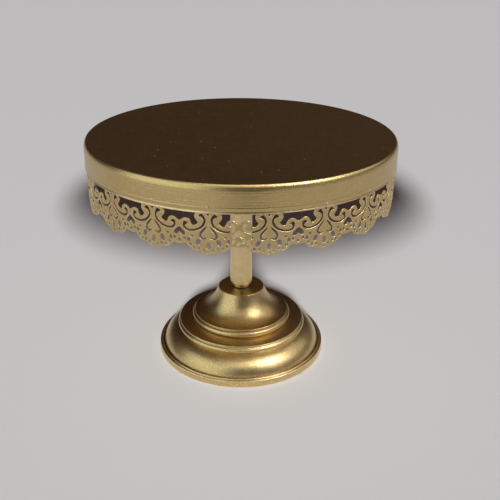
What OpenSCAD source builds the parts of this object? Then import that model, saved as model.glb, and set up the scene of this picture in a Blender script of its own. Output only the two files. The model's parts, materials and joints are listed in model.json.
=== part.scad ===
// Cake stand with a round plate, a hanging lace skirt, a tube stem and a spun base.
// Millimetres, +Z up, origin on the table under the centre of the base.

/* [Overall] */
// Diameter of the round top plate
plate_d = 250; // [240:5:260]
// Height of the plate's top face above the table
stand_h = 197; // [180:1:240]
// Thickness of the pressed steel sheet
sheet_t = 1; // [0.8:0.1:1.2]

/* [Top plate] */
// Depth of the turned-down rim, from the top face to its lower edge
rim_depth = 20.4; // [18:0.2:24]
// Outer radius of the bend between the top face and the rim
rim_bend_r = 2.2; // [1.4:0.1:2.4]
// Diameter of the reinforcing disc welded under the plate
flange_d = 76; // [60:2:100]
// Thickness of the reinforcing disc
flange_t = 2; // [1.5:0.5:3]
// Diameter of the threaded socket under the plate
socket_d = 27; // [24:1:32]

/* [Lace skirt] */
// Number of lace motifs round the skirt
motifs = 19; // [18:1:20]
// Thickness of the pierced strip
skirt_t = 0.8; // [0.6:0.1:1]
// Height of the plain band that is welded behind the rim
skirt_band = 8.4; // [6:0.2:11]

/* [Stem] */
// Outer diameter of the stem tube
stem_d = 19; // [18:0.5:22]
// Wall thickness of the stem tube
stem_wall = 1.2; // [1:0.1:1.5]
// Height of the plug that shows below the tube
lower_neck = 3.4; // [2:0.2:5]
// Diameter of the plug where it shows below the tube
neck_d = 15.6; // [13:0.2:16.4]
// Height of the plug that shows above the tube
upper_neck = 1; // [0.5:0.5:3]
// Length of each plug inside the tube
plug_len = 20; // [15:1:30]

/* [Screw joints] */
// Outside diameter of the threaded studs
stud_d = 9.9; // [9.7:0.05:9.95]
// Bore of the socket and of the nut that the studs screw into
thread_bore_d = 10; // [10:0.02:10.1]
// Advance of the thread in one turn
thread_pitch = 1.5; // [1.25:0.25:1.5]
// Length of thread in use at each end when the stand is tight
thread_len = 9; // [9:1.5:12]
// Thickness of the washer at each end of the stem
washer_t = 0.8; // [0.6:0.1:1.5]
// Outer diameter of the washers
washer_d = 16.2; // [15:0.2:18]

/* [Base] */
// Diameter of the base at its lower edge
base_d = 148; // [145:1:152]
// Height of the flat collar above the lower edge of the base
collar_h = 57.4; // [55:0.2:60]
// Diameter of the flat collar under the stem
collar_d = 40.4; // [36:0.4:44]
// Width of the hem turned in under the base
hem_w = 8; // [7:0.5:12]
// Diameter of the disc welded under the collar
stiffener_d = 34; // [26:1:36]
// Thickness of the disc welded under the collar
stiffener_t = 2.5; // [2:0.5:4]
// Width across flats of the nut under the base
nut_af = 17; // [16:1:19]

/* [Pads] */
// Number of rubber pads under the base
pads = 4; // [3:1:8]
// Diameter of a pad
pad_d = 7; // [5:0.5:7]
// Thickness of a pad, which is how far it lifts the base off the table
pad_t = 1; // [0.8:0.1:2]

/* [Hidden] */

$fn = 96;
gold = "#b79a5c";
steel = "#9a9a98";
rubber = "#2b2a28";

plate_r = plate_d / 2;
rim_r = plate_r - sheet_t;
rim_z = stand_h - rim_depth;
stem_bore_d = stem_d - 2 * stem_wall;

// Levels of the stack, from the base up
collar_z = pad_t + collar_h;
lower_plug_z = collar_z + washer_t;
tube_z0 = lower_plug_z + lower_neck;

// Levels of the stack, from the plate down
flange_z = stand_h - sheet_t - flange_t;
socket_z = flange_z - thread_len;
upper_plug_z = socket_z - washer_t;
tube_z1 = upper_plug_z - upper_neck;

// Levels below the collar
stiffener_z = collar_z - sheet_t - stiffener_t;
nut_z = stiffener_z - thread_len;

// Points along an arc from angle a0 to angle a1 about [cx, cy]
function arc(cx, cy, r, a0, a1, n = 8) =
    [for (i = [0:n]) let (a = a0 + (a1 - a0) * i / n) [cx + r * cos(a), cy + r * sin(a)]];

function reversed(list) = [for (i = [len(list) - 1:-1:0]) list[i]];

function mirrored(points) = [for (p = reversed(points)) [-p[0], p[1]]];

// Outline of a slit along a centre line whose points are [x, y, half width]
function slit(line) =
    let (
        last = len(line) - 1,
        side = [for (i = [0:last])
            let (
                d = line[min(i + 1, last)] - line[max(i - 1, 0)],
                s = line[i][2] / norm([d[0], d[1]])
            )
            [-d[1] * s, d[0] * s]],
        mid = [for (q = line) [q[0], q[1]]]
    )
    concat([for (i = [0:last]) mid[i] + side[i]], reversed([for (i = [0:last]) mid[i] - side[i]]));

function ellipse(cx, cy, rx, ry, tilt, n = 8) =
    [for (i = [0:n - 1])
        let (a = 360 * i / n, x = rx * cos(a), y = ry * sin(a))
        [cx + x * cos(tilt) - y * sin(tilt), cy + x * sin(tilt) + y * cos(tilt)]];

module tube(r_out, r_in, z0, z1) {
    translate([0, 0, z0])
        difference() {
            cylinder(r = r_out, h = z1 - z0);
            translate([0, 0, -1]) cylinder(r = r_in, h = z1 - z0 + 2);
        }
}

// ---- Top plate and its welded parts ----

module top_plate() {
    hem_r = sheet_t / 2;
    outer = concat(
        [[0, stand_h]],
        arc(plate_r - rim_bend_r, stand_h - rim_bend_r, rim_bend_r, 90, 0, 6),
        arc(plate_r - hem_r, rim_z + hem_r, hem_r, 0, -180, 6)
    );
    inner = concat(
        arc(plate_r - rim_bend_r, stand_h - rim_bend_r, rim_bend_r - sheet_t, 0, 90, 3),
        [[0, stand_h - sheet_t]]
    );
    color(gold) rotate_extrude() polygon(concat(outer, inner));
}

module plate_flange() {
    color(gold)
        tube(flange_d / 2, thread_bore_d / 2, flange_z, stand_h - sheet_t);
}

module plate_socket() {
    chamfer = 1.5;
    r = socket_d / 2;
    bore_r = thread_bore_d / 2;
    color(gold) rotate_extrude() polygon([
        [bore_r, socket_z], [r - chamfer, socket_z], [r, socket_z + chamfer],
        [r, flange_z], [bore_r, flange_z]
    ]);
}

// ---- Lace skirt ----
// The pattern is drawn flat, with x from an axis of symmetry and y down from the rim's lower
// edge. One period is lace_period wide and is scaled so that whole motifs fill the skirt.

lace_period = 41;
lace_scale = 2 * PI * rim_r / (motifs * lace_period);
lace_reach = 36;
behind_rim = 1.2;

// Half of the opening between two motifs, whose side follows the scrolls' round lobes
window_half = [
    [12.6, -behind_rim], [11.5, 1], [11, 2.7], [11.8, 5], [13.4, 6.7], [12.5, 8.3], [10.8, 9.4],
    [9.1, 9.2], [8.3, 7.5], [7.2, 5.6], [5.5, 4.7], [3.7, 4.7], [1.8, 6], [0, 6.8]
];

// Half of the upside-down heart below the window
heart_half = [[0, 11.5], [1.7, 13], [3.6, 14.6], [4.2, 16], [3.4, 17.2], [1.7, 17], [0, 15.4]];

// Slit that winds round both lobes of a scroll
scroll_line = [
    [6, 2.4, 0.5], [4.8, 2, 1.2], [3.1, 3.4, 0.75], [2.3, 5.4, 0.6], [3.5, 8.9, 0.6],
    [6.2, 11.3, 0.6], [9.9, 12.8, 0.6], [13.2, 13.1, 0.6], [16, 12, 0.6],
    [17.1, 10, 0.65], [16, 8.2, 1.15], [14.9, 8.4, 0.5]
];

// Slit along one side of the heart on a motif's axis
heart_line = [
    [1.3, 10, 0.3], [3.2, 12.2, 0.6], [5.3, 14.6, 0.65], [5.7, 16.8, 0.75],
    [3.8, 18.8, 0.65], [1.6, 18, 0.4]
];

// Lower edge of the big scallop, from its tip up to the notch beside it and on below the edge of
// the small scallop, so that the two outlines cross cleanly
scallop_line = [
    [0, 31], [2.4, 30.3], [4.8, 29.4], [7.4, 28.6], [9.8, 28.3], [12.4, 27],
    [14.2, 25.2], [15.2, 22.8], [17.2, 24.13]
];

// Lower edge of the small scallop, from its middle to just past the notch
small_scallop_line = [[0, 24.1], [2.4, 23.9], [5.1, 23.22]];

// Round holes as [x, y], on a motif's axis, beside it and between two motifs
axis_hole = [0, 28.4];
side_holes = [[3.3, 27.2], [6.6, 25.7], [9.9, 25.6], [12.6, 23.4]];
gap_hole = [0, 21.2];
gap_side_hole = [3.6, 19.6];
bead_hole_r = 1.15;

module both_sides() {
    children();
    mirror([1, 0]) children();
}

// Everything pierced about a motif's axis
module motif_cuts() {
    polygon([[-1.6, -behind_rim], [1.6, -behind_rim], [0.3, 1.8], [-0.3, 1.8]]);
    polygon(ellipse(0, 23.9, 1.65, 2.6, 0));
    translate(axis_hole) circle(bead_hole_r);
    polygon(concat(
        scallop_line, [[17.2, lace_reach], [-17.2, lace_reach]], mirrored(scallop_line)
    ));
    both_sides() {
        polygon(slit(scroll_line));
        polygon(slit(heart_line));
        polygon([[10, 16.8], [13.2, 16.8], [11.6, 18.2]]);
        polygon(ellipse(7.3, 21.4, 1.75, 2.6, -30));
        polygon(ellipse(13.9, 20.1, 1.4, 1.6, 0));
        for (h = side_holes) translate(h) circle(bead_hole_r);
    }
}

// Everything pierced about the axis between two motifs
module gap_cuts() {
    polygon(concat(window_half, mirrored(window_half)));
    polygon(concat(heart_half, mirrored(heart_half)));
    polygon(concat(
        small_scallop_line, [[5.1, lace_reach], [-5.1, lace_reach]], mirrored(small_scallop_line)
    ));
    translate(gap_hole) circle(bead_hole_r);
    both_sides() translate(gap_side_hole) circle(bead_hole_r);
}

// Stands a flat pattern up on the rim's lower edge, facing away from the stem
module on_skirt(angle) {
    depth = 4;
    rotate([0, 0, angle])
        translate([0, -(rim_r - depth), rim_z])
            rotate([90, 0, 0])
                scale(lace_scale)
                    linear_extrude(height = 2 * depth)
                        mirror([0, 1])
                            children();
}

// The strip is bent in narrow flats, a few to each motif
flats = motifs * 6;

function flat_ring(r) =
    [for (i = [0:flats - 1]) let (a = 360 * (i + 0.3) / flats) [r * cos(a), r * sin(a)]];

module lace_skirt() {
    step = 360 / motifs;
    drop = (lace_reach - 2) * lace_scale;
    color(gold)
        difference() {
            translate([0, 0, rim_z - drop])
                linear_extrude(height = drop + skirt_band)
                    difference() {
                        polygon(flat_ring(rim_r));
                        polygon(flat_ring(rim_r - skirt_t));
                    }
            for (i = [0:motifs - 1]) {
                on_skirt((i + 0.5) * step) motif_cuts();
                on_skirt(i * step) gap_cuts();
            }
        }
}

// ---- Stem ----

module stem_tube() {
    color(gold) tube(stem_d / 2, stem_bore_d / 2, tube_z0, tube_z1);
}

plug_r = stem_bore_d / 2;
plug_chamfer = 0.4;

// A steel plug pressed into the tube and bored for its stud, with the given outline at its foot
module plug(foot, z0, z1) {
    stud_r = stud_d / 2;
    color(gold) rotate_extrude() polygon(concat(
        [[stud_r, z0]], foot,
        [[plug_r, z1 - plug_chamfer], [plug_r - plug_chamfer, z1], [stud_r, z1]]
    ));
}

module lower_plug() {
    neck_r = neck_d / 2;
    foot = [
        [neck_r - plug_chamfer, lower_plug_z], [neck_r, lower_plug_z + plug_chamfer],
        [neck_r, tube_z0], [plug_r, tube_z0]
    ];
    plug(foot, lower_plug_z, tube_z0 + plug_len);
}

module upper_plug() {
    z0 = tube_z1 - plug_len;
    foot = [[plug_r - plug_chamfer, z0], [plug_r, z0 + plug_chamfer]];
    plug(foot, z0, upper_plug_z);
}

// A stud that points up from z = 0: plain where it is fixed, threaded above. Each turn of the
// thread is a ring with a flat crest.
module stud(plain_len, threaded_len) {
    crest_r = stud_d / 2;
    root_r = crest_r - 0.55 * thread_pitch;
    turns = floor(threaded_len / thread_pitch) - 1;
    thread = [for (i = [0:turns - 1], q = [[0, 0], [0.3, 1], [0.45, 1], [0.75, 0]])
        [q[1] == 0 ? crest_r : root_r, plain_len + (i + 0.25 + q[0]) * thread_pitch]];
    end_z = plain_len + threaded_len;
    rotate_extrude() polygon(concat(
        [[0, 0], [crest_r, 0]], thread,
        [[crest_r, end_z - 1], [crest_r - 1, end_z], [0, end_z]]
    ));
}

stud_fixed = plug_len - 2;

module upper_stud() {
    color(steel) translate([0, 0, upper_plug_z - stud_fixed])
        stud(stud_fixed, washer_t + thread_len + 1);
}

module lower_stud() {
    color(steel) translate([0, 0, lower_plug_z + stud_fixed])
        mirror([0, 0, 1])
            stud(stud_fixed, washer_t + sheet_t + stiffener_t + thread_len + 1);
}

module upper_washer() {
    color(rubber) tube(washer_d / 2, thread_bore_d / 2, upper_plug_z, socket_z);
}

module lower_washer() {
    color(rubber) tube(washer_d / 2, thread_bore_d / 2, collar_z, lower_plug_z);
}

// ---- Base ----
// Heights in the profile are above the lower edge of the base.

base_r = base_d / 2;
collar_r = collar_d / 2;
collar_edge_r = 1.2;

// Upper edges of the two stepped rings, as radius, height and drop to the next surface
ring1 = [base_r - 32.5, 35.6, 7.3];
ring2 = [base_r - 19, 27.7, 6.4];

// The cove is part of an ellipse that leans outward under the collar and runs level to the ring
cove_from = 30;
cove_lean = atan((1 - sin(cove_from)) / cos(cove_from) * tan(cove_from));
cove_top = [
    collar_r - collar_edge_r * (1 - cos(cove_lean)), collar_h - collar_edge_r * (1 - sin(cove_lean))
];
cove_foot_x = ring1[0] - 0.7;
cove_a = (cove_foot_x - cove_top[0]) / cos(cove_from);
cove_b = (cove_top[1] - ring1[1]) / (1 - sin(cove_from));

// Points along the cove from one angle of the ellipse to another, or on its inner face below
function cove(below, from, to, n = 20) = [
    for (i = [0:n])
        let (t = from + (to - from) * i / n, out = [cove_b * cos(t), cove_a * sin(t)])
        [cove_foot_x - cove_a * cos(t), ring1[1] + cove_b * (1 - sin(t))] - below * out / norm(out)
];

// The dome between the second ring and the edge is an arc from its inner to its outer end
dome_x0 = ring2[0] + 0.9;
dome_x1 = base_r - 4.3;
dome_z0 = 21;
dome_z1 = 5.3;
dome_rise = 2.8;

// Centre and radius of the arc that joins two points and rises above their chord
function arc_over(x0, z0, x1, z1, rise) =
    let (
        half = norm([x1 - x0, z1 - z0]) / 2,
        r = (half * half + rise * rise) / (2 * rise),
        out = [z0 - z1, x1 - x0] / (2 * half),
        mid = [x0 + x1, z0 + z1] / 2,
        c = mid - (r - rise) * out
    )
    [c[0], c[1], r];

dome = arc_over(dome_x0, dome_z0, dome_x1, dome_z1, dome_rise);

function dome_angle(x, z) = atan2(z - dome[1], x - dome[0]);

// A thin lip with a groove below it and a round bead below that
function ring_edge(ring) =
    let (lip_r = 0.5, x = ring[0], z = ring[1], bead_r = ring[2] / 2 - 0.9)
    concat(
        arc(x - lip_r, z - lip_r, lip_r, 90, -30, 5),
        [[x - 0.3, z - 1.5]],
        arc(x - 0.6, z - ring[2] / 2 - 1, bead_r, 65, -60, 7)
    );

base_outer = concat(
    [[thread_bore_d / 2, collar_h]],
    arc(collar_r - collar_edge_r, collar_h - collar_edge_r, collar_edge_r, 90, cove_lean, 4),
    cove(0, cove_from, 90),
    ring_edge(ring1),
    ring_edge(ring2),
    arc(dome[0], dome[1], dome[2],
        dome_angle(dome_x0, dome_z0), dome_angle(dome_x1, dome_z1), 14),
    arc(base_r - 3, 5.9, 0.9, 150, 20, 5),
    [[base_r - 1.8, 5.7]],
    arc(base_r - 1.1, 5.2, 0.8, 120, 0, 5),
    [[base_r, 0.6], [base_r - 0.4, 0]]
);

base_inner = concat(
    [[base_r - hem_w, 0], [base_r - hem_w, sheet_t], [base_r - 1.1, sheet_t],
     [base_r - 1.3, 4.2], [dome_x1 - 1.1, 4.2]],
    arc(dome[0], dome[1], dome[2] - sheet_t,
        dome_angle(dome_x1, dome_z1), dome_angle(dome_x0, dome_z0), 14),
    [[ring2[0] - 1.5, dome_z0 - 1.2], [ring2[0] - 1.6, ring2[1] - 1.1],
     [ring1[0] - 0.4, ring1[1] - 8.1], [ring1[0] - 1.5, ring1[1] - sheet_t]],
    cove(sheet_t, 90, cove_from),
    [[collar_r - sheet_t, collar_h - sheet_t], [thread_bore_d / 2, collar_h - sheet_t]]
);

module base_shell() {
    color(gold) translate([0, 0, pad_t])
        rotate_extrude() polygon(concat(base_outer, base_inner));
}

module base_stiffener() {
    color(steel)
        tube(stiffener_d / 2, thread_bore_d / 2, stiffener_z, stiffener_z + stiffener_t);
}

module base_nut() {
    color(steel) translate([0, 0, nut_z])
        difference() {
            cylinder(d = nut_af / cos(30), h = thread_len, $fn = 6);
            translate([0, 0, -1]) cylinder(d = thread_bore_d, h = thread_len + 2);
        }
}

module base_pads() {
    color(rubber)
        for (i = [0:pads - 1])
            rotate([0, 0, 360 * (i + 0.5) / pads])
                translate([base_r - hem_w / 2 - 0.3, 0, 0])
                    cylinder(d = pad_d, h = pad_t);
}

top_plate();
lace_skirt();
plate_flange();
plate_socket();
upper_washer();
upper_stud();
upper_plug();
stem_tube();
lower_plug();
lower_stud();
lower_washer();
base_shell();
base_stiffener();
base_nut();
base_pads();
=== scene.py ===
"""Cake stand in satin gold: a round plate with a lace skirt, a tube stem and a stepped spun base.

Lengths are in millimetres inside the shape functions and become metres when a mesh is made. The
camera, the floor and the lights are placed in metres.
"""

import json
import math

import bmesh
import bpy
import numpy as np
from mathutils import Matrix, Vector
from mathutils.geometry import delaunay_2d_cdt

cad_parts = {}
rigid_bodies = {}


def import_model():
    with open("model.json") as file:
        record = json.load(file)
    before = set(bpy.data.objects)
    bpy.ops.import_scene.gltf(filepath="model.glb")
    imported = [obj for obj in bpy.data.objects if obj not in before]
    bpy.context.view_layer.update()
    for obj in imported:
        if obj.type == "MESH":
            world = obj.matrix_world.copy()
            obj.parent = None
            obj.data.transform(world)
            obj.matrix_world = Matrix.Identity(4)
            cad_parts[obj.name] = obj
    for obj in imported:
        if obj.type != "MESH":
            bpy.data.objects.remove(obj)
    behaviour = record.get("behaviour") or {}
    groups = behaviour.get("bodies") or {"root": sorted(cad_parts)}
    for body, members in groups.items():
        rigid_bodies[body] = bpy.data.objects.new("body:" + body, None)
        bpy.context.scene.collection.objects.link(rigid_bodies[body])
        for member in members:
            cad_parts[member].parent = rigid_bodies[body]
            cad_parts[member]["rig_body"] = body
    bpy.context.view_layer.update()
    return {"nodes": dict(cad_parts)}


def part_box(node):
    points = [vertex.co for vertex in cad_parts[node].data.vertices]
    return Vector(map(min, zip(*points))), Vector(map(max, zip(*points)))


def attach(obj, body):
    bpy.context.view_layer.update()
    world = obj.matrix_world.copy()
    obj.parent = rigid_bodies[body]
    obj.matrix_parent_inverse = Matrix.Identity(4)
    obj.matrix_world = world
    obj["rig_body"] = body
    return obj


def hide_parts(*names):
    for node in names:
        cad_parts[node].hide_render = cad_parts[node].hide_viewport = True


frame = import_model()

MM = 0.001
TURN = 2 * math.pi
SHARP = math.radians(34)


def span(node):
    """A CAD node's outer radius, lowest level and highest level."""
    lo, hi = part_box(node)
    return hi.x / MM, lo.z / MM, hi.z / MM


PLATE_R, RIM_Z, PLATE_Z = span("top_plate")
_, _, SKIRT_TOP_Z = span("lace_skirt")
FLANGE_R, FLANGE_Z, _ = span("plate_flange")
SOCKET_R, SOCKET_Z, _ = span("plate_socket")
WASHER_R, UPPER_WASHER_Z, _ = span("upper_washer")
STEM_R, TUBE_Z0, TUBE_Z1 = span("stem_tube")
PLUG_R, LOWER_PLUG_Z0, LOWER_PLUG_Z1 = span("lower_plug")
_, UPPER_PLUG_Z0, UPPER_PLUG_Z1 = span("upper_plug")
STUD_R, LOWER_STUD_Z0, LOWER_STUD_Z1 = span("lower_stud")
_, UPPER_STUD_Z0, UPPER_STUD_Z1 = span("upper_stud")
_, LOWER_WASHER_Z, _ = span("lower_washer")
BASE_R, EDGE_Z, COLLAR_Z = span("base_shell")
STIFF_R, STIFF_Z, _ = span("base_stiffener")
_, NUT_Z, _ = span("base_nut")
SHEET = 1.0
RIM_R = PLATE_R - SHEET
BORE_R = 5.0
PITCH = 1.5
NECK_R = 7.8
COLLAR_H = COLLAR_Z - EDGE_Z


# ---- Outlines ----


def arc(x, z, r, a0, a1, n=8):
    """Points along an arc about (x, z), from angle a0 to a1 in degrees."""
    angles = np.radians(np.linspace(a0, a1, n + 1))
    return [(x + r * math.cos(a), z + r * math.sin(a)) for a in angles]


def rounded(corners, step=15):
    """An outline through corners of (x, z, fillet radius), with an arc at each fillet."""
    out = []
    for i, (x, z, r) in enumerate(corners):
        p = Vector((x, z))
        if r <= 0:
            out.append((x, z))
            continue
        a = (Vector(corners[i - 1][:2]) - p).normalized()
        b = (Vector(corners[(i + 1) % len(corners)][:2]) - p).normalized()
        half = a.angle(b) / 2
        centre = p + (a + b).normalized() * r / math.sin(half)
        start = p + a * r / math.tan(half)
        swing = math.pi - 2 * half
        way = -1 if a.x * b.y - a.y * b.x > 0 else 1
        count = max(2, math.ceil(math.degrees(swing) / step))
        for k in range(count + 1):
            spoke = start - centre
            spoke.rotate(Matrix.Rotation(way * swing * k / count, 2))
            out.append(tuple(centre + spoke))
    return out


def eased(outline, offsets=(0.5, 1.2, 2.6)):
    """Adds points near both ends of each long side, so that the lighter edges and the painted
    crease shade can fade out beside an edge.
    """
    out = []
    for a, b in zip(outline, outline[1:] + outline[:1]):
        a, b = np.array(a, float), np.array(b, float)
        length = np.linalg.norm(b - a)
        if length < 0.001:
            continue
        near = [d for d in offsets if d < length * 0.45]
        stops = [0.0, *near, *[length - d for d in reversed(near)]]
        out += [tuple(a + (b - a) * d / length) for d in stops]
    return out


def edge_crease_along(outline, reach=0.9):
    """How sharply an anticlockwise outline turns near each point: 1 at an edge, -1 in a crease."""
    p = np.array(outline, float)
    ahead, back = np.roll(p, -1, 0) - p, p - np.roll(p, 1, 0)
    turn = np.arctan2(
        back[:, 0] * ahead[:, 1] - back[:, 1] * ahead[:, 0], (back * ahead).sum(1)
    )
    gap = np.linalg.norm(p[:, None] - p[None], axis=2)
    near = np.exp(-((gap / reach) ** 2)) * (gap < 3 * reach)
    return np.clip((near * turn[None]).sum(1) / 1.3, -1, 1)


# ---- Meshes ----


def rings(rows, steps, wear=None, centre=(0, 0)):
    """A closed skin over rows of (radius, level), each a number or one value per step round."""
    angles = np.arange(steps) * TURN / steps
    verts, index, values = [], [], []
    for k, (r, z) in enumerate(rows):
        value = 0.0 if wear is None else float(wear[k])
        if np.isscalar(r) and r < 1e-6:
            index.append(np.full(steps, len(verts)))
            verts.append((centre[0], centre[1], z))
            values.append(value)
            continue
        r, z = np.broadcast_to(r, steps), np.broadcast_to(z, steps)
        index.append(np.arange(steps) + len(verts))
        xs, ys = centre[0] + r * np.sin(angles), centre[1] - r * np.cos(angles)
        verts += list(zip(xs, ys, z))
        values += [value] * steps
    faces = []
    for a, b in zip(index, index[1:] + index[:1]):
        if a[0] == a[1] and b[0] == b[1]:
            continue
        a2, b2 = np.roll(a, -1), np.roll(b, -1)
        for q in zip(a.tolist(), a2.tolist(), b2.tolist(), b.tolist()):
            faces.append(tuple(dict.fromkeys(q)))
    return verts, faces, values


def lathe(outline, steps=192, centre=(0, 0)):
    """The skin of an outline of (radius, level) turned about the vertical line at centre."""
    points = np.array(outline, float)
    nxt = np.roll(points, -1, 0)
    if (points[:, 0] * nxt[:, 1] - nxt[:, 0] * points[:, 1]).sum() < 0:
        outline = outline[::-1]
    outline = eased(list(outline))
    wear = edge_crease_along(outline)
    return rings([(float(r), float(z)) for r, z in outline], steps, wear, centre)


def piece(name, parts, material, node, smooth=SHARP):
    """One object made of parts, each (vertices in mm, faces, edge and crease values), riding on
    its node's body.
    """
    verts, faces, values = [], [], []
    for v, f, w in parts:
        faces += [tuple(i + len(verts) for i in q) for q in f]
        verts += list(v)
        values += list(w)
    mesh = bpy.data.meshes.new(name)
    mesh.from_pydata((np.array(verts, float) * MM).tolist(), [], faces)
    # Each vertex carries how sharp an edge or crease it sits on; the gold lightens edges with it
    # and paints shade into creases.
    wear = mesh.attributes.new("wear", "FLOAT", "POINT")
    wear.data.foreach_set("value", np.array(values, np.float32))
    mesh.polygons.foreach_set("use_smooth", [True] * len(mesh.polygons))
    mesh.set_sharp_from_angle(angle=smooth)
    mesh.materials.append(material)
    obj = bpy.data.objects.new(name, mesh)
    bpy.context.scene.collection.objects.link(obj)
    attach(obj, frame["nodes"][node]["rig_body"])
    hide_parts(node)
    return obj


# ---- Materials ----


class Nodes:
    """Builds one material's node tree with short calls."""

    def __init__(self, name):
        self.material = bpy.data.materials.new(name)
        self.material.use_nodes = True
        self.tree = self.material.node_tree
        self.shader = self.tree.nodes["Principled BSDF"]
        self.place = self.add("ShaderNodeTexCoord").outputs["Object"]

    def add(self, kind, **values):
        node = self.tree.nodes.new(kind)
        for key, value in values.items():
            if key in node.inputs:
                self.set(node.inputs[key], value)
            else:
                setattr(node, key, value)
        return node

    def set(self, socket, value):
        if isinstance(value, bpy.types.NodeSocket):
            self.tree.links.new(value, socket)
        else:
            socket.default_value = value

    def noise(self, scale, detail=2.0, stretch=None, **values):
        where = self.place
        if stretch:
            where = self.add("ShaderNodeMapping", Vector=where, Scale=stretch).outputs[0]
        return self.add(
            "ShaderNodeTexNoise", Vector=where, Scale=scale, Detail=detail, **values
        ).outputs[0]

    def math(self, operation, a, b=0.0, clamp=False):
        node = self.add("ShaderNodeMath", operation=operation, use_clamp=clamp)
        self.set(node.inputs[0], a)
        self.set(node.inputs[1], b)
        return node.outputs[0]

    def fit(self, value, low, high, to_low=0.0, to_high=1.0):
        """Maps low..high of value onto to_low..to_high, clamped."""
        node = self.add("ShaderNodeMapRange")
        for socket, v in zip(node.inputs, (value, low, high, to_low, to_high)):
            self.set(socket, v)
        return node.outputs[0]

    def mix(self, share, a, b):
        node = self.add("ShaderNodeMix", data_type="RGBA")
        self.set(node.inputs[0], share)
        self.set(node.inputs[6], a)
        self.set(node.inputs[7], b)
        return node.outputs[2]

    def wear(self):
        return self.add("ShaderNodeAttribute", attribute_name="wear").outputs["Fac"]

    def bump(self, height, distance, strength=1.0, under=None):
        node = self.add(
            "ShaderNodeBump", Height=height, Distance=distance, Strength=strength
        )
        if under:
            self.set(node.inputs["Normal"], under)
        return node.outputs[0]

    def finish(self, **sockets):
        for key, value in sockets.items():
            self.set(self.shader.inputs[key.replace("_", " ")], value)
        return self.material


def colour(r, g, b):
    return (r, g, b, 1.0)


def gold(name, deep, mid, pale, rough, grain=1.0, lines=0.0, cloudy=0.35, flecks=False):
    """Satin metallic paint: mottled colour, fine grain, orange peel, edges lighter as rubbed paint
    and painted highlight, painted shade in the creases, and here and there a fleck of dust under
    the paint."""
    n = Nodes(name)
    cloud = n.noise(38, 4.0)
    patch = n.noise(210, 3.0)
    speck = n.noise(1500, 2.0)
    mottle = n.math("ADD", n.math("MULTIPLY", cloud, 0.55), n.math("MULTIPLY", patch, 0.45))
    base = n.mix(n.fit(mottle, 0.36, 0.64, 0.5 - cloudy, 0.5 + cloudy), deep, mid)
    base = n.mix(n.fit(speck, 0.5, 0.75, 0.0, 0.5 * grain), base, pale)
    base = n.mix(n.fit(speck, 0.48, 0.25, 0.0, 0.6 * grain), base, deep)
    # Edges come out lighter, partly as rubbed paint and partly as a painted highlight.
    edge = n.fit(n.wear(), 0.25, 0.9)
    crease = n.fit(n.wear(), -0.2, -0.9)
    rubbed_and_highlit = n.math("MULTIPLY", edge, n.fit(patch, 0.4, 0.62, 0.25, 0.8))
    base = n.mix(rubbed_and_highlit, base, pale)
    # Painted shade darkens the creases.
    base = n.mix(n.math("MULTIPLY", crease, 0.35), base, deep)
    roughness = n.fit(patch, 0.3, 0.7, rough - 0.06 * cloudy, rough + 0.08 * cloudy)
    roughness = n.math("SUBTRACT", roughness, n.math("MULTIPLY", rubbed_and_highlit, 0.08))
    normal = n.bump(n.noise(900, 2.0), 0.00003 * grain, 0.5)
    normal = n.bump(n.noise(2600, 2.0), 0.000015 * grain, 0.5, under=normal)
    if lines:
        turned = n.noise(10, 3.0, stretch=(1, 1, 100))
        normal = n.bump(turned, 0.00008 * lines, 0.4, under=normal)
    metallic = 1.0
    if flecks:
        dots = n.add("ShaderNodeTexVoronoi", Vector=n.place, Scale=260.0)
        draw = n.add("ShaderNodeSeparateColor", Color=dots.outputs["Color"]).outputs[0]
        chosen = n.fit(draw, 0.93, 0.94)
        fleck = n.math("MULTIPLY", n.fit(dots.outputs["Distance"], 0.14, 0.09), chosen)
        base = n.mix(fleck, base, pale)
        metallic = n.fit(fleck, 0.0, 1.0, 1.0, 0.55)
        normal = n.bump(fleck, 0.00015, 0.8, under=normal)
    return n.finish(
        Base_Color=base,
        Metallic=metallic,
        Roughness=roughness,
        Normal=normal,
        Coat_Weight=0.14,
        Coat_Roughness=0.3,
    )


def zinc(name):
    """Bright zinc plate, turned, with faint streaks."""
    n = Nodes(name)
    patch = n.noise(300, 3.0)
    base = n.mix(n.fit(patch, 0.3, 0.7), colour(0.42, 0.42, 0.4), colour(0.62, 0.62, 0.6))
    streak = n.noise(60, 2.0, stretch=(1, 1, 30))
    return n.finish(
        Base_Color=base,
        Metallic=1.0,
        Roughness=n.fit(streak, 0.3, 0.7, 0.26, 0.42),
        Normal=n.bump(streak, 0.00003, 0.5),
    )


def rubber(name):
    """Moulded black rubber with a fine matt grain."""
    n = Nodes(name)
    patch = n.noise(500, 3.0)
    base = n.mix(
        n.fit(patch, 0.3, 0.7), colour(0.018, 0.018, 0.017), colour(0.04, 0.038, 0.036)
    )
    return n.finish(
        Base_Color=base,
        Roughness=n.fit(patch, 0.3, 0.7, 0.62, 0.8),
        Normal=n.bump(n.noise(3000, 2.0), 0.00003, 0.5),
    )


DEEP, MID, PALE = colour(0.52, 0.36, 0.13), colour(0.62, 0.465, 0.22), colour(0.85, 0.73, 0.48)
plate_gold = gold(
    "gold_plate", DEEP, MID, PALE, 0.35, grain=0.9, lines=3.0, cloudy=0.16, flecks=True
)
lace_gold = gold("gold_lace", DEEP, MID, PALE, 0.42)
# The stem's gold is paler than the others, partly as a separately painted tube and partly as
# painted light that brightens the stem.
stem_gold_painted_lighter = gold("gold_stem", MID, colour(0.76, 0.59, 0.31), PALE, 0.38)
base_gold = gold("gold_base", colour(0.54, 0.36, 0.115), MID, PALE, 0.36, grain=2.2, lines=0.6)
bright_zinc = zinc("zinc")
black_rubber = rubber("black_rubber")


# ---- Top plate and the parts welded under it ----

WALL_R = PLATE_R - 0.25
MOTIFS = 19
CREASE_Z = RIM_Z + 4.1
BEND_IN, BEND_DROP = 2.4, 5.5
BEND_R = 2.2
RIPPLE, RIPPLE_STEP = 0.028, 0.27


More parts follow.
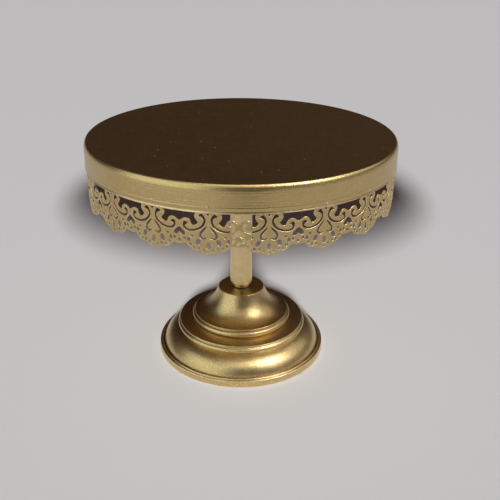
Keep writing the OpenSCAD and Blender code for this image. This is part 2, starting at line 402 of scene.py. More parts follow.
def top_plate():
    """The pressed plate: an edge that rolls over softly, a rim wall with fine turning lines, a
    ridge above its plain lower band, and a small round bead at the hem."""
    half = 9
    roll = [
        (WALL_R - BEND_IN * (1 - math.cos(t)), PLATE_Z - BEND_DROP * (1 - math.sin(t)))
        for t in np.radians(np.linspace(90, 0, 2 * half + 1))
    ]
    wall = [(WALL_R, z) for z in np.arange(roll[-1][1], CREASE_Z + 1, -RIPPLE_STEP)]
    ripples = [
        (r + RIPPLE * math.sin(z * 4.6) * math.sin(z * 1.7 + 0.6), z)
        for r, z in [*roll[half:-1], *wall]
    ]
    crease = [
        (WALL_R - 0.02, CREASE_Z + 0.75),
        (WALL_R + 0.08, CREASE_Z + 0.4),
        (WALL_R + 0.15, CREASE_Z + 0.1),
        (WALL_R + 0.12, CREASE_Z - 0.2),
        (WALL_R, CREASE_Z - 0.5),
        (WALL_R - 0.04, CREASE_Z - 0.9),
        (WALL_R - 0.16, RIM_Z + 1.5),
    ]
    outer = (
        [(r, PLATE_Z) for r in (0, 40, 80, 105)]
        + roll[:half]
        + ripples
        + crease
        + arc(PLATE_R - 0.6, RIM_Z + 0.6, 0.6, 35, -180, 12)
    )
    inner = arc(RIM_R - BEND_R + SHEET, PLATE_Z - BEND_R, BEND_R - SHEET, 0, 90, 4)
    inner += [(r, PLATE_Z - SHEET) for r in (105, 80, FLANGE_R, 0)]
    return lathe(outer + inner, steps=288)


def spot_weld(turn, size, dip, lift=0.24):
    """A small round mark on the rim wall: a low blob with a dimple of depth dip in its middle."""
    around, rows = 20, []
    for share in (1.25, 1.0, 0.8, 0.6, 0.42, 0.25, 0.0):
        height = lift * (1 - share**2) if share <= 1 else -0.15
        height -= dip * max(0, 1 - (share / 0.5) ** 2)
        rows.append((share * size, height))
    verts, faces = [], []
    for r, height in rows:
        angles = np.arange(around) * TURN / around
        along, up = r * np.cos(angles), r * np.sin(angles)
        at = turn + along / WALL_R
        out = WALL_R + height
        verts += list(zip(out * np.sin(at), -out * np.cos(at), CREASE_Z + up))
    for ring in range(len(rows) - 1):
        for k in range(around):
            a, b = ring * around + k, ring * around + (k + 1) % around
            faces.append((a, b, b + around, a + around))
    # The innermost ring is one point, and the skin closes behind the wall.
    last = len(verts) - around
    verts = verts[: last + 1]
    faces = [tuple(dict.fromkeys(min(i, last) for i in q)) for q in faces]
    faces.append(tuple(reversed(range(around))))
    # The marks take a middling edge value, so the gold lightens them a little, as rubbed paint and
    # painted highlight.
    return verts, faces, [0.5] * len(verts)


def spot_welds():
    """One mark in front of each weld that holds the lace skirt. No two are quite alike."""
    marks = []
    for k in range(MOTIFS):
        turn = (k + 0.5) * TURN / MOTIFS
        size = 1.35 + 0.25 * math.sin(k * 2.3)
        dip = 0.6 if k == 1 else 0.08 + 0.08 * math.sin(k * 1.7)
        marks.append(spot_weld(turn, size, dip))
    return marks


piece(
    "pressed_plate", [top_plate(), *spot_welds()], plate_gold, "top_plate"
)

flange = rounded(
    [
        (BORE_R, FLANGE_Z, 0.2),
        (BORE_R, PLATE_Z - SHEET, 0),
        (FLANGE_R, PLATE_Z - SHEET, 0),
        (FLANGE_R, FLANGE_Z, 0.6),
    ]
)
piece("reinforcing_disc", [lathe(flange, 128)], plate_gold, "plate_flange")


# ---- Threads ----

STUD_GROOVE = 0.8
BORE_GROOVE = 0.5
RUN_OUT = 0.8
LEAD_IN = 0.7


def run_out(z, z0, z1):
    """1 along a thread from z0 to z1, falling to 0 at its two ends."""
    return min(1, max(0, min(z - z0, z1 - z) / RUN_OUT))


def thread_height(z, steps, z0, z1):
    """0 at the root to 1 at the crest of a helical thread, for each step round, at level z."""
    turns = np.arange(steps) / steps
    phase = (z / PITCH - turns) % 1.0
    ridge = np.clip((0.5 - np.abs(phase - 0.5)) * 4 - 0.4, 0, 1)
    return ridge * run_out(z, z0, z1)


def stud(z0, z1, thread_z0, thread_z1, steps=64):
    """A stud with a helical thread between two levels, and a larger chamfer at that end."""
    low, high = (0.3, 1.0) if thread_z1 > z1 - 2 else (1.0, 0.3)
    rows = [(0.0, z0), (STUD_R - low, z0), (STUD_R, z0 + low)]
    count = int((thread_z1 - thread_z0) / (PITCH / 10))
    for z in np.linspace(thread_z0, thread_z1, count).tolist():
        if not z0 + low < z < z1 - high:
            continue
        groove = 1 - thread_height(z, steps, thread_z0, thread_z1)
        depth = STUD_GROOVE * run_out(z, thread_z0, thread_z1)
        rows.append((STUD_R - depth * groove, z))
    rows += [(STUD_R, z1 - high), (STUD_R - high, z1), (0.0, z1)]
    return rings(rows, steps)


def bore_rows(top, foot, steps):
    """Rows down a tapped bore, whose thread is cut outwards from the bore's radius."""
    count = int((top - foot) / (PITCH / 8))
    return [
        (BORE_R + BORE_GROOVE * thread_height(z, steps, foot, top), z)
        for z in np.linspace(top, foot, count).tolist()
    ]


def socket():
    """The round threaded socket, bored and tapped."""
    steps, chamfer = 96, 1.5
    rows = [
        (BORE_R + LEAD_IN, SOCKET_Z),
        (SOCKET_R - chamfer, SOCKET_Z),
        (SOCKET_R - 0.15, SOCKET_Z + chamfer - 0.15),
        (SOCKET_R, SOCKET_Z + chamfer + 0.25),
        (SOCKET_R, FLANGE_Z),
        (BORE_R, FLANGE_Z),
    ]
    return rings(rows + bore_rows(FLANGE_Z - 0.4, SOCKET_Z + LEAD_IN, steps), steps)


def weld_bead(r, z, size, ripples):
    """A fillet weld round a cylinder of radius r, under a face at level z."""
    steps = 192
    turns = np.arange(steps) / steps
    swell = size * (1 + 0.1 * np.sin(TURN * ripples * turns) + 0.06 * np.sin(TURN * 7 * turns))
    rows = []
    for a in np.linspace(0, 90, 7):
        c, s = math.cos(math.radians(a)), math.sin(math.radians(a))
        bulge = swell * (0.78 + 0.22 * math.sin(math.radians(2 * a)))
        rows.append((r - 0.05 + bulge * c, z - (bulge * s - 0.05)))
    rows.append((r - 0.4, z + 0.3))
    return rings(rows, steps)


piece(
    "threaded_socket",
    [socket(), weld_bead(SOCKET_R, FLANGE_Z, 1.8, 48)],
    plate_gold,
    "plate_socket",
)

piece(
    "stud_upper",
    [stud(UPPER_STUD_Z0, UPPER_STUD_Z1, UPPER_PLUG_Z1 - 0.4, UPPER_STUD_Z1 - 0.6)],
    bright_zinc,
    "upper_stud",
)
piece(
    "stud_lower",
    [stud(LOWER_STUD_Z0, LOWER_STUD_Z1, LOWER_STUD_Z0 + 0.6, LOWER_PLUG_Z0 + 0.4)],
    bright_zinc,
    "lower_stud",
)


# ---- Washers and stem ----

WASHER_T, AIR = 0.8, 0.02
SHOULDER_IN = 0.3


def washer(level):
    """A washer with its lower CAD face at level, and a hair of air above and below it."""
    z0, z1 = level + AIR, level + (WASHER_T - AIR)
    corners = [(BORE_R, z0, 0.2), (WASHER_R, z0, 0.3), (WASHER_R, z1, 0.3), (BORE_R, z1, 0.2)]
    return lathe(rounded(corners, 30), 96)


piece(
    "washer_upper", [washer(UPPER_WASHER_Z)], black_rubber, "upper_washer"
)
piece(
    "washer_lower", [washer(LOWER_WASHER_Z)], black_rubber, "lower_washer"
)


def plug(foot, z0, z1):
    """A bored plug from level z0 to z1. foot is its outline from the lower face up to the bore of
    the tube."""
    inner = STUD_R + 0.02
    corners = [(inner, z0, 0.2), *foot, (PLUG_R, z1, 0.5), (inner, z1, 0.2)]
    return lathe(rounded(corners), 128)


tube_bore = PLUG_R + 0.01
tube = rounded(
    [
        (tube_bore, TUBE_Z0, 0.25),
        (STEM_R, TUBE_Z0, 0.4),
        (STEM_R, TUBE_Z1, 0.4),
        (tube_bore, TUBE_Z1, 0.25),
    ]
)
piece("tube", [lathe(tube, 160)], stem_gold_painted_lighter, "stem_tube")
shoulder = TUBE_Z0 + SHOULDER_IN
neck = [(NECK_R, LOWER_PLUG_Z0, 0.4), (NECK_R, shoulder, 0.2), (PLUG_R, shoulder, 0.0)]
lower = plug(neck, LOWER_PLUG_Z0, LOWER_PLUG_Z1)
# The lower plug takes the darker base gold, painted shade for where it sits in the shadow under
# the tube.
piece("plug_lower", [lower], base_gold, "lower_plug")
upper = plug([(PLUG_R, UPPER_PLUG_Z0, 0.5)], UPPER_PLUG_Z0, UPPER_PLUG_Z1)
piece("plug_upper", [upper], stem_gold_painted_lighter, "upper_plug")


# ---- Base ----


def arc_over(x0, z0, x1, z1, rise):
    """Centre, radius and end angles of the arc that joins two points, rise above their chord."""
    half = math.hypot(x1 - x0, z1 - z0) / 2
    r = (half * half + rise * rise) / (2 * rise)
    out = Vector((z0 - z1, x1 - x0)) / (2 * half)
    c = Vector(((x0 + x1) / 2, (z0 + z1) / 2)) - (r - rise) * out
    return c.x, c.y, r, *(
        math.degrees(math.atan2(z - c.y, x - c.x)) for x, z in ((x0, z0), (x1, z1))
    )


def ring_edge(x, z, drop):
    """A thin lip at (x, z), a groove under it and a round bead below."""
    lip, bead = 0.5, drop / 2 - 0.9
    return (
        arc(x - lip, z - lip, lip, 90, -30, 8)
        + [(x - 0.25, z - 1.2), (x - 0.32, z - 1.5), (x - 0.2, z - 1.75)]
        + arc(x - 0.6, z - drop / 2 - 1, bead, 62, -64, 14)
    )


def cove(top, foot, start, below=0.0, n=40):
    """The hollow curve from top to foot: part of an ellipse that leans out at the top and runs
    level at the foot, or the same curve on the inner face, below it."""
    t = np.radians(np.linspace(start, 90, n + 1))
    a = (foot[0] - top[0]) / math.cos(t[0])
    b = (top[1] - foot[1]) / (1 - math.sin(t[0]))
    out = np.stack([b * np.cos(t), a * np.sin(t)], 1)
    out /= np.linalg.norm(out, axis=1)[:, None]
    line = np.stack([foot[0] - a * np.cos(t), foot[1] + b * (1 - np.sin(t))], 1)
    return [tuple(p) for p in line - below * out]


def base_shell():
    collar_r, bend, start = BASE_R - 53.8, 1.2, 30
    ring1, ring2 = (BASE_R - 32.5, 35.6, 7.3), (BASE_R - 19, 27.7, 6.4)
    t = math.radians(start)
    lean = math.atan((1 - math.sin(t)) / math.cos(t) * math.tan(t))
    top = (
        collar_r - bend * (1 - math.cos(lean)),
        COLLAR_H - bend * (1 - math.sin(lean)),
    )
    foot = (ring1[0] - 0.7, ring1[1])
    dome_x0, dome_x1 = ring2[0] + 0.9, BASE_R - 4.3
    x, z, r, a0, a1 = arc_over(dome_x0, 21, dome_x1, 5.3, 2.8)
    outer = (
        [(BORE_R, COLLAR_H)]
        + arc(collar_r - bend, COLLAR_H - bend, bend, 90, math.degrees(lean), 8)
        + cove(top, foot, start)
        + ring_edge(*ring1)
        + ring_edge(*ring2)
        + arc(x, z, r, a0, a1, 28)
        + arc(BASE_R - 3, 5.9, 0.9, 150, 20, 8)
        + [(BASE_R - 1.8, 5.65)]
        + arc(BASE_R - 1.1, 5.2, 0.8, 120, 0, 8)
        + arc(BASE_R - 0.5, 0.5, 0.5, 0, -90, 4)
    )
    hem = 8.0
    inner = (
        arc(BASE_R - hem + 0.5, 0.5, 0.5, 270, 90, 6)
        + [
            (BASE_R - 1.1, SHEET),
            (BASE_R - 1.3, 4.2),
            (dome_x1 - 1.1, 4.2),
        ]
        + arc(x, z, r - SHEET, a1, a0, 20)
        + [
            (ring2[0] - 1.5, 19.8),
            (ring2[0] - 1.6, ring2[1] - 1.1),
            (ring1[0] - 0.4, ring1[1] - 8.1),
            (ring1[0] - 1.5, ring1[1] - SHEET),
        ]
        + cove(top, foot, start, SHEET, 24)[::-1]
        + [(collar_r - SHEET, COLLAR_H - SHEET), (BORE_R, COLLAR_H - SHEET)]
    )
    return lathe([(r, z + EDGE_Z) for r, z in outer + inner], steps=256)


piece("spun_base", [base_shell()], base_gold, "base_shell")

stiff_z1 = STIFF_Z + 2.5
stiffener = rounded(
    [
        (BORE_R, STIFF_Z, 0.2),
        (STIFF_R, STIFF_Z, 0.5),
        (STIFF_R, stiff_z1, 0.0),
        (BORE_R, stiff_z1, 0.0),
    ]
)
piece("base_disc", [lathe(stiffener, 96)], base_gold, "base_stiffener")


def hex_nut(z0, z1, across):
    """A hexagon nut with chamfered corners and a tapped bore."""
    steps = 96
    angles = np.arange(steps) * TURN / steps + TURN / 12
    flat = across / 2 / np.cos((angles % (TURN / 6)) - TURN / 12)
    turned = np.minimum(flat, across / 2 * 0.98)
    drop = (flat - turned) * 0.55
    rows = [
        (BORE_R + LEAD_IN, z0),
        (turned, z0),
        (flat, z0 + drop + 0.05),
        (flat, z1 - drop - 0.05),
        (turned, z1),
        (BORE_R + LEAD_IN, z1),
    ]
    return rings(rows + bore_rows(z1 - LEAD_IN, z0 + LEAD_IN, steps), steps)


NUT_AF = 17.0
piece(
    "welded_nut",
    [hex_nut(NUT_Z, STIFF_Z, NUT_AF), weld_bead(NUT_AF / 2 + 0.2, STIFF_Z, 1.6, 30)],
    bright_zinc,
    "base_nut",
)


def pad(turn):
    """One round rubber pad under the hem."""
    ring_r, r = BASE_R - 4.3, 3.5
    angle = math.radians(turn)
    corners = [(0, 0, 0), (r, 0, 0.25), (r, EDGE_Z, 0.15), (0, EDGE_Z, 0)]
    at = (ring_r * math.cos(angle), ring_r * math.sin(angle))
    return lathe(rounded(corners, 30), 40, at)


piece(
    "rubber_pads", [pad(a) for a in (45, 135, 225, 315)], black_rubber, "base_pads"
)


# ---- Lace skirt ----
# One period of the pattern is drawn flat: x from a motif's axis, y down from the rim's lower edge.
# Every contour runs with the metal on its left, where left of (dx, dy) is (-dy, dx).

PERIOD = 41.0
HALF = PERIOD / 2
SKIRT_T = 0.8
BAND = SKIRT_TOP_Z - RIM_Z
BEHIND = 1.2
HOLE_R = 1.1
BEVEL = 0.13
STEP = 0.6
GRID, STAGGER, CLEAR = 1.75, 0.3, 0.75
LACE_SHARP = math.radians(28)

WINDOW_TOP = [(12.6, -BEHIND), (12.0, 0.0), (11.2, 1.4), (11.0, 2.8), (11.5, 4.4)]
WINDOW_NOTCH = [(11.5, 4.4), (12.6, 5.9), (13.4, 6.7)]
WINDOW_FOOT = [(13.4, 6.7), (12.6, 8.2), (10.9, 9.3)]
WINDOW_LOBE = [
    (10.9, 9.3), (9.4, 9.2), (8.6, 8.0), (8.0, 6.4), (6.9, 5.2), (5.4, 4.6), (3.7, 4.8),
    (1.9, 5.8), (0.0, 6.9),
]  # fmt: skip
HEART = [(0.0, 11.5), (1.7, 12.7), (3.5, 14.4), (4.3, 16.0), (3.5, 17.2), (1.8, 17.0), (0.0, 15.5)]
SCROLL = [
    (6.0, 2.4, 0.6), (4.7, 2.1, 1.35), (3.2, 3.4, 0.9), (2.4, 5.5, 0.74), (3.5, 8.8, 0.74),
    (6.3, 11.4, 0.74), (9.9, 12.8, 0.74), (13.2, 13.1, 0.74), (16.0, 12.1, 0.75),
    (17.1, 10.1, 0.82), (16.2, 8.2, 1.35), (14.9, 8.2, 0.6),
]  # fmt: skip
HEART_SLIT = [
    (1.3, 10.0, 0.35), (3.2, 12.2, 0.7), (5.2, 14.6, 0.75), (5.7, 16.8, 0.85),
    (4.0, 18.7, 0.72), (1.6, 18.0, 0.45),
]  # fmt: skip
BIG_SCALLOP = [
    (0.0, 31.0), (2.4, 30.35), (4.8, 29.4), (7.4, 28.7), (9.8, 28.2), (12.4, 27.0),
    (14.3, 25.2), (16.1, 23.4),
]  # fmt: skip
SMALL_SCALLOP = [(-4.4, 23.4), (-2.3, 23.95), (0.0, 24.1)]


def spline(points, step=STEP, closed=False):
    """A smooth curve through points, with new points about every step. The curve's extra columns,
    such as a half width, are carried along."""
    p = np.array(points, float)
    if closed:
        q = np.vstack([p[-1], p, p[0], p[1]])
    else:
        q = np.vstack([2 * p[0] - p[1], p, 2 * p[-1] - p[-2]])
    out = []
    for p0, p1, p2, p3 in zip(q, q[1:], q[2:], q[3:]):
        t1, t2, t3 = (
            math.sqrt(max(np.linalg.norm((b - a)[:2]), 1e-6))
            for a, b in ((p0, p1), (p1, p2), (p2, p3))
        )
        m1 = t2 * ((p1 - p0) / t1 - (p2 - p0) / (t1 + t2) + (p2 - p1) / t2)
        m2 = t2 * ((p2 - p1) / t2 - (p3 - p1) / (t2 + t3) + (p3 - p2) / t3)
        count = max(1, round(np.linalg.norm((p2 - p1)[:2]) / step))
        for s in np.arange(count) / count:
            a, b = 2 * s**3 - 3 * s**2 + 1, s**3 - 2 * s**2 + s
            c, d = -2 * s**3 + 3 * s**2, s**3 - s**2
            out.append(a * p1 + b * m1 + c * p2 + d * m2)
    if not closed:
        out.append(p[-1])
    return np.array(out)


def joined(*runs):
    """Runs of points end to end, without repeating the points that they share."""
    out = [np.array(runs[0], float)]
    for run in runs[1:]:
        out.append(np.array(run, float)[1:])
    return np.vstack(out)


def mirrored(points):
    return np.array(points, float)[::-1] * (-1, 1)


def straight(a, b, step=2.0):
    """Points from a to b, both included."""
    a, b = np.array(a, float), np.array(b, float)
    count = max(1, round(np.linalg.norm(b - a) / step))
    return a + (b - a) * np.linspace(0, 1, count + 1)[:, None]


def slit(line):
    """The outline of a slit with round ends along a line of (x, y, half width)."""
    p = spline(line)
    ahead = np.gradient(p[:, :2], axis=0)
    ahead /= np.linalg.norm(ahead, axis=1)[:, None]
    side = np.stack([-ahead[:, 1], ahead[:, 0]], 1)

    def cap(i, sign):
        turn = np.radians(np.linspace(-90, 90, 6)[1:-1])
        out = sign * ahead[i] * np.cos(turn)[:, None] + sign * side[i] * np.sin(turn)[:, None]
        return p[i, :2] + out * p[i, 2]

    left, right = p[:, :2] + side * p[:, 2:], p[:, :2] - side * p[:, 2:]
    return np.vstack([right, cap(-1, 1), left[::-1], cap(0, -1)])


def ellipse(x, y, rx, ry, tilt=0.0):
    count = max(10, round(TURN * (rx + ry) / 2 / STEP / 2) * 2)
    a, t = np.arange(count) * TURN / count - TURN / 4, math.radians(tilt)
    u, v = rx * np.cos(a), ry * np.sin(a)
    return np.stack(
        [x + u * math.cos(t) - v * math.sin(t), y + u * math.sin(t) + v * math.cos(t)], 1
    )


def hole(points):
    """A closed contour with the metal outside it."""
    nxt = np.roll(points, -1, 0)
    area = (points[:, 0] * nxt[:, 1] - nxt[:, 0] * points[:, 1]).sum()
    return points[::-1] if area > 0 else points


def inset(points, distance, before=None, after=None):
    """Contour points moved into the metal. before and after are the points beyond its ends."""
    first = points[-1] if before is None else before
    last = points[0] if after is None else after
    p = np.vstack([first, points, last])
    d = np.diff(p, axis=0)
    d /= np.maximum(np.linalg.norm(d, axis=1), 1e-9)[:, None]
    left = np.stack([-d[:, 1], d[:, 0]], 1)
    both = left[:-1] + left[1:]
    both /= np.maximum((both * left[1:]).sum(1), 0.5)[:, None]
    return points + both * distance


def contours():
    """(outline, its inset) of every contour of one period. The open ones end on the seams."""
    closed = []
    for sign in (1, -1):
        flip = (sign, 1)
        closed += [slit(SCROLL) * flip, slit(HEART_SLIT) * flip]
        closed.append(joined(straight((10, 16.8), (13.2, 16.8), STEP),
                             straight((13.2, 16.8), (11.6, 18.3), STEP),
                             straight((11.6, 18.3), (10, 16.8), STEP))[:-1] * flip)  # fmt: skip
        closed.append(ellipse(7.3, 21.4, 1.7, 2.5, -30) * flip)
        closed.append(ellipse(13.9, 20.1, 1.35, 1.55) * flip)
        for x, y in ((3.3, 27.2), (6.6, 25.7), (9.9, 25.6), (12.6, 23.4)):
            closed.append(ellipse(x, y, HOLE_R, HOLE_R) * flip)
        closed.append(ellipse(HALF - 3.6, 19.6, HOLE_R, HOLE_R) * flip)
    closed.append(ellipse(0, 23.9, 1.6, 2.55))
    closed.append(ellipse(0, 28.4, HOLE_R, HOLE_R))
    wedge = [(-1.6, -BEHIND), (1.6, -BEHIND), (0.3, 1.8), (-0.3, 1.8), (-1.6, -BEHIND)]
    closed.append(joined(*[straight(a, b, STEP) for a, b in zip(wedge, wedge[1:])])[:-1])
    closed = [hole(c) for c in closed]

    # Openings between two motifs are made whole about their axis, inset, then cut along it.
    sill = straight((0, -BEHIND), (12.6, -BEHIND), 1.2)
    lobe = spline(WINDOW_LOBE + [(-x, y) for x, y in WINDOW_LOBE[-2:-4:-1]])
    lobe = lobe[: np.argmin(np.abs(lobe[:, 0])) + 1]
    lobe[-1, 0] = 0
    side = joined(sill, spline(WINDOW_TOP), spline(WINDOW_NOTCH), spline(WINDOW_FOOT), lobe)
    ring = ellipse(0, 21.2, HOLE_R, HOLE_R)
    halves = []
    for half in (side, spline(HEART), ring[: len(ring) // 2 + 1]):
        half = half.copy()
        half[0, 0] = half[-1, 0] = 0
        whole = hole(np.vstack([half, mirrored(half)[1:-1]]))
        moved = inset(whole, BEVEL)
        keep = whole[:, 0] <= 1e-9
        start = min(np.flatnonzero(keep), key=lambda i: (abs(whole[i, 0]) > 1e-9, whole[i, 1]))
        order = [(start + k) % len(whole) for k in range(len(whole))]
        if whole[order[1], 0] > 0:
            order = [(start - k) % len(whole) for k in range(len(whole))]
        count = int(keep.sum())
        halves.append((whole[order[:count]], moved[order[:count]]))

    small = spline(SMALL_SCALLOP + [(2.3, 23.95)])
    small = small[: np.argmin(np.abs(small[:, 0])) + 1] + (HALF, 0)
    small[-1, 0] = HALF
    big = spline(BIG_SCALLOP)
    right = joined(big, small)
    bottom = np.vstack([right[::-1], mirrored(right)[::-1][1:]])
    wrap = bottom[1] * (-1, 1) + (PERIOD, 0)
    top = straight((-HALF, -BAND), (HALF, -BAND))
    opened = [(bottom, inset(bottom, BEVEL, wrap, wrap * (-1, 1))), (top, top + (0, BEVEL))]
    return [(c, inset(c, BEVEL)) for c in closed], halves, opened


def within(points, loop):
    """Whether each point lies inside a closed loop, by counting the crossings beside it."""
    ahead = np.roll(loop, -1, 0)
    x, y = points[:, :1], points[:, 1:]
    spans = (loop[:, 1] > y) != (ahead[:, 1] > y)
    rise = np.where(np.abs(ahead[:, 1] - loop[:, 1]) < 1e-12, 1.0, ahead[:, 1] - loop[:, 1])
    at = loop[:, 0] + (y - loop[:, 1]) / rise * (ahead[:, 0] - loop[:, 0])
    return (spans & (x < at)).sum(1) % 2 == 1


def lace_period():
    """Vertices as (x, y, depth), faces and edge and crease values of one period of the pierced
    strip.
    """
    loops, halves, (bottom, top) = contours()
    chains = []
    for shift, flip in ((HALF, 1), (-HALF, -1)):
        side = [(c * (flip, 1) + (shift, 0), m * (flip, 1) + (shift, 0)) for c, m in halves]
        if flip < 0:
            side = [(c[::-1], m[::-1]) for c, m in side]
        chains.append(side)
    open_runs = [top, *chains[0], bottom, *chains[1][::-1]]

    flat, index, edges = [], [], []
    for _, moved in loops:
        ids = list(range(len(flat), len(flat) + len(moved)))
        flat += list(moved)
        edges += list(zip(ids, ids[1:] + ids[:1]))
        index.append(ids)
    first = len(flat)
    for i, (_, moved) in enumerate(open_runs):
        ids = list(range(len(flat), len(flat) + len(moved)))
        flat += list(moved)
        edges += list(zip(ids, ids[1:]))
        index.append(ids)
        ahead = open_runs[(i + 1) % len(open_runs)][1][0]
        if np.linalg.norm(ahead - moved[-1]) > 1e-6:
            between = straight(moved[-1], ahead, 1.6)[1:-1]
            more = list(range(len(flat), len(flat) + len(between)))
            flat += list(between)
            chain = [ids[-1], *more]
            edges += list(zip(chain, chain[1:]))
            last = chain[-1]
        else:
            last = ids[-1]
        edges.append((last, None))
    # The open runs join end to end into the outer boundary.
    starts = [ids[0] for ids in index[len(loops) :]]
    closing = iter(starts[1:] + [first])
    edges = [(a, next(closing)) if b is None else (a, b) for a, b in edges]
    outline = np.array(flat)

    xs, ys = np.arange(-HALF + 1.2, HALF - 1, GRID), np.arange(-BAND + 1.2, 31, GRID)
    grid = np.array([(x + STAGGER * (k % 2), y) for k, y in enumerate(ys) for x in xs])
    away = np.linalg.norm(grid[:, None] - outline[None], axis=2).min(1) > CLEAR
    points = np.vstack([outline, grid[away]])

    merged = {}
    keys = [tuple(np.round(p, 6)) for p in points]
    remap = [merged.setdefault(k, len(merged)) for k in keys]
    unique = [Vector(p) for p in merged]
    edges = [(remap[a], remap[b]) for a, b in edges if remap[a] != remap[b]]
    made, _, faces, sources, _, _ = delaunay_2d_cdt(unique, edges, [], 0, 1e-7)
    source_of = {s: i for i, found in enumerate(sources) for s in found}
    at = [source_of.get(remap[i]) for i in range(len(points))]

    sheet = np.array([tuple(v) for v in made])
    middles = sheet[np.array(faces)].mean(1)
    border = outline[first:]
    solid = within(middles, border)
    for _, moved in loops:
        solid &= ~within(middles, moved)
    faces = [q for q, keep in zip(faces, solid) if keep]
    count = len(sheet)
    verts = [(x, y, 0.0) for x, y in sheet] + [(x, y, SKIRT_T) for x, y in sheet]
    out = [(a, c, b) for a, b, c in faces]
    out += [(a + count, b + count, c + count) for a, b, c in faces]
    wear = [0.0] * (2 * count)
    for k, (ids, (wall, _)) in enumerate(zip(index, loops + open_runs)):
        near = [at[i] for i in ids]
        far = [i + count for i in near]
        b = list(range(len(verts), len(verts) + len(wall)))
        verts += [(x, y, BEVEL) for x, y in wall]
        c = list(range(len(verts), len(verts) + len(wall)))
        verts += [(x, y, SKIRT_T - BEVEL) for x, y in wall]
        # The walls of the openings get a high edge value, so the gold lightens them as rubbed
        # paint and painted highlight.
        wear += [0.8] * (2 * len(wall))
        for i in near + far:
            wear[i] = 0.45
        pairs = list(zip(range(len(wall)), range(1, len(wall))))
        if k < len(loops):
            pairs.append((len(wall) - 1, 0))
        for upper, lower in ((near, b), (b, c), (c, far)):
            out += [(upper[i], upper[j], lower[j], lower[i]) for i, j in pairs]
    return np.array(verts), out, wear


def lace_skirt():
    """The strip bent round into a ring of whole motifs, just inside the rim."""
    verts, faces, wear = lace_period()
    front = RIM_R - 0.03
    all_verts, all_faces, all_edge_crease = [], [], []
    for k in range(MOTIFS):
        turn = ((k + 0.5) + verts[:, 0] / PERIOD) * TURN / MOTIFS
        r = front - verts[:, 2]
        z = RIM_Z - verts[:, 1]
        start = k * len(verts)
        all_verts.append(np.stack([r * np.sin(turn), -r * np.cos(turn), z], 1))
        all_faces += [tuple(i + start for i in q) for q in faces]
        all_edge_crease += wear
    return np.vstack(all_verts), all_faces, all_edge_crease


skirt = piece(
    "pierced_lace", [lace_skirt()], lace_gold, "lace_skirt", smooth=LACE_SHARP
)
# The motifs are welded into one mesh, so that no seam shows between them.
mesh_tool = bmesh.new()
mesh_tool.from_mesh(skirt.data)
bmesh.ops.remove_doubles(mesh_tool, verts=mesh_tool.verts, dist=2e-6)
loose = [v for v in mesh_tool.verts if not v.link_faces]
bmesh.ops.delete(mesh_tool, geom=loose, context="VERTS")
mesh_tool.to_mesh(skirt.data)
mesh_tool.free()
skirt.data.set_sharp_from_angle(angle=LACE_SHARP)


# ---- Camera, floor, light ----

FLOOR_REACH, FLOOR_Z = 14.0, -0.0001
FLAG_X, FLAG_Y, FLAG_CORNERS = 0.245, 0.215, 48
CARD_LEFT, CARD_RIGHT, CARD_Y, CARD_TOP = -0.1, 0.22, -0.72, 0.45

camera = bpy.data.objects.new("camera", bpy.data.cameras.new("camera"))
bpy.context.scene.collection.objects.link(camera)
camera.data.lens = 50
camera.data.sensor_width = 36
camera.location = (0.0076, -0.5464, 0.3497)
pitch, roll = math.radians(25.2), math.radians(0.45)
camera.matrix_basis = (
    Matrix.Translation(camera.location)
    @ Matrix.Rotation(math.pi / 2 - pitch, 4, "X")
    @ Matrix.Rotation(roll, 4, "Z")
)
bpy.context.scene.camera = camera


def stage_sheet(name, corners, material):
    """A flat sheet that belongs to the set, not to the stand."""
    mesh = bpy.data.meshes.new(name)
    mesh.from_pydata(corners, [], [tuple(range(len(corners)))])
    mesh.materials.append(material)
    obj = bpy.data.objects.new(name, mesh)
    bpy.context.scene.collection.objects.link(obj)
    return obj


# The floor is clear when seen from below, so that the underside of the stand shows.
floor_nodes = Nodes("floor")
floor_paint = floor_nodes.finish(Base_Color=colour(0.85, 0.855, 0.86), Roughness=0.9)
clear = floor_nodes.add("ShaderNodeBsdfTransparent").outputs[0]
below = floor_nodes.add("ShaderNodeNewGeometry").outputs["Backfacing"]
either = floor_nodes.add("ShaderNodeMixShader")
for socket, value in zip(either.inputs, (below, floor_nodes.shader.outputs[0], clear)):
    floor_nodes.set(socket, value)
floor_nodes.set(floor_nodes.tree.nodes["Material Output"].inputs[0], either.outputs[0])
floor_corners = [
    (x * FLOOR_REACH, y * FLOOR_REACH, FLOOR_Z) for x, y in ((-1, -1), (1, -1), (1, 1), (-1, 1))
]
floor = stage_sheet("floor", floor_corners, floor_paint)


def lamp(name, kind, power, azimuth, elevation, distance=3.0, tint=(1, 1, 1), **values):
    """A light that faces the stand. Azimuth 0 is in front, 90 on the right."""
    data = bpy.data.lights.new(name, kind)
    data.energy, data.color = power, tint
    for key, value in values.items():
        setattr(data, key, value)
    obj = bpy.data.objects.new(name, data)
    bpy.context.scene.collection.objects.link(obj)
    a, e = math.radians(azimuth), math.radians(elevation)
    out = Vector((math.sin(a) * math.cos(e), -math.cos(a) * math.cos(e), math.sin(e)))
    obj.location = Vector((0, 0, 0.08)) + out * distance
    obj.rotation_euler = out.to_track_quat("Z", "Y").to_euler()
    return obj


def linked(name, member, state):
    """A light linking group that includes or excludes one object."""
    group = bpy.data.collections.new(name)
    group.objects.link(member)
    group.collection_objects[0].light_linking.link_state = state
    return group


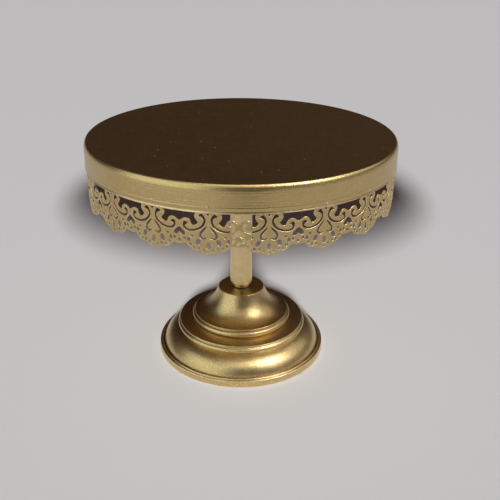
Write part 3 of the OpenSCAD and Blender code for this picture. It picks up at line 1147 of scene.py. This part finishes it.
# A flag widens the plate's shadow on the floor behind the stand, and a dark card in front takes
# the light out of the middle of the reflections. Neither is seen by the camera.
flag_turns = [TURN * k / FLAG_CORNERS for k in range(FLAG_CORNERS)]
flag_corners = [(FLAG_X * math.sin(t), FLAG_Y * math.cos(t), RIM_Z * MM) for t in flag_turns]
flag = stage_sheet("flag", flag_corners, floor_paint)
flag.visible_camera = flag.visible_diffuse = flag.visible_glossy = False
flag.visible_transmission = flag.visible_volume_scatter = False
card_paint = Nodes("card").finish(Base_Color=colour(0.03, 0.022, 0.015), Roughness=0.8)
card_feet = [(CARD_LEFT, CARD_Y, 0), (CARD_RIGHT, CARD_Y, 0)]
card_corners = [*card_feet, (CARD_RIGHT, CARD_Y, CARD_TOP), (CARD_LEFT, CARD_Y, CARD_TOP)]
card = stage_sheet("card", card_corners, card_paint)
card.visible_camera = card.visible_shadow = False

not_floor = linked("not_floor", floor, "EXCLUDE")
only_floor = linked("only_floor", floor, "INCLUDE")
not_flag = linked("not_flag", flag, "EXCLUDE")
for name, watts, azimuth, elevation, distance, width, height, tint in (
    ("key", 19, 55, 48, 1.9, 0.9, 0.9, (0.97, 0.98, 1.0)),
    ("right", 13, 84, 38, 2.4, 3.2, 1.8, (1.0, 0.97, 0.92)),
    ("left", 23, -54, 22, 2.3, 2.8, 2.2, (0.9, 1.0, 1.0)),
    ("top", 19, 14, 66, 2.3, 2.2, 2.2, (1.0, 0.99, 0.94)),
):
    box = lamp(
        name, "AREA", watts, azimuth, elevation, distance, tint,
        shape="RECTANGLE", size=width, size_y=height,
    )  # fmt: skip
    box.light_linking.receiver_collection = not_floor
    box.light_linking.blocker_collection = not_flag
bounce = lamp("bounce", "AREA", 0.05, 0, 90, 0.0, shape="RECTANGLE", size=0.36, size_y=0.36)
bounce.location, bounce.rotation_euler = (0, 0, 0.0005), (math.pi, 0, 0)
bounce.light_linking.receiver_collection = not_floor
sweep = lamp("sweep", "SUN", 4.5, 0, 24, angle=math.radians(8))
soft = lamp("soft", "AREA", 1.5, 0, 75, 2.6, shape="RECTANGLE", size=2.4, size_y=1.6)
for light in (sweep, soft):
    light.light_linking.receiver_collection = only_floor

# The camera sees a light grey round the floor. What the stand reflects is a dark red-brown.
world = bpy.data.worlds.new("world")
bpy.context.scene.world = world
world.use_nodes = True
tree = world.node_tree
background = tree.nodes["Background"]
seen = tree.nodes.new("ShaderNodeBackground")
seen.inputs["Color"].default_value = colour(0.54, 0.537, 0.534)
background.inputs["Color"].default_value = colour(0.027, 0.0095, 0.0088)
path = tree.nodes.new("ShaderNodeLightPath")
choose = tree.nodes.new("ShaderNodeMixShader")
tree.links.new(path.outputs["Is Camera Ray"], choose.inputs[0])
tree.links.new(background.outputs[0], choose.inputs[1])
tree.links.new(seen.outputs[0], choose.inputs[2])
tree.links.new(choose.outputs[0], tree.nodes["World Output"].inputs["Surface"])

bpy.context.scene.view_settings.view_transform = "Standard"
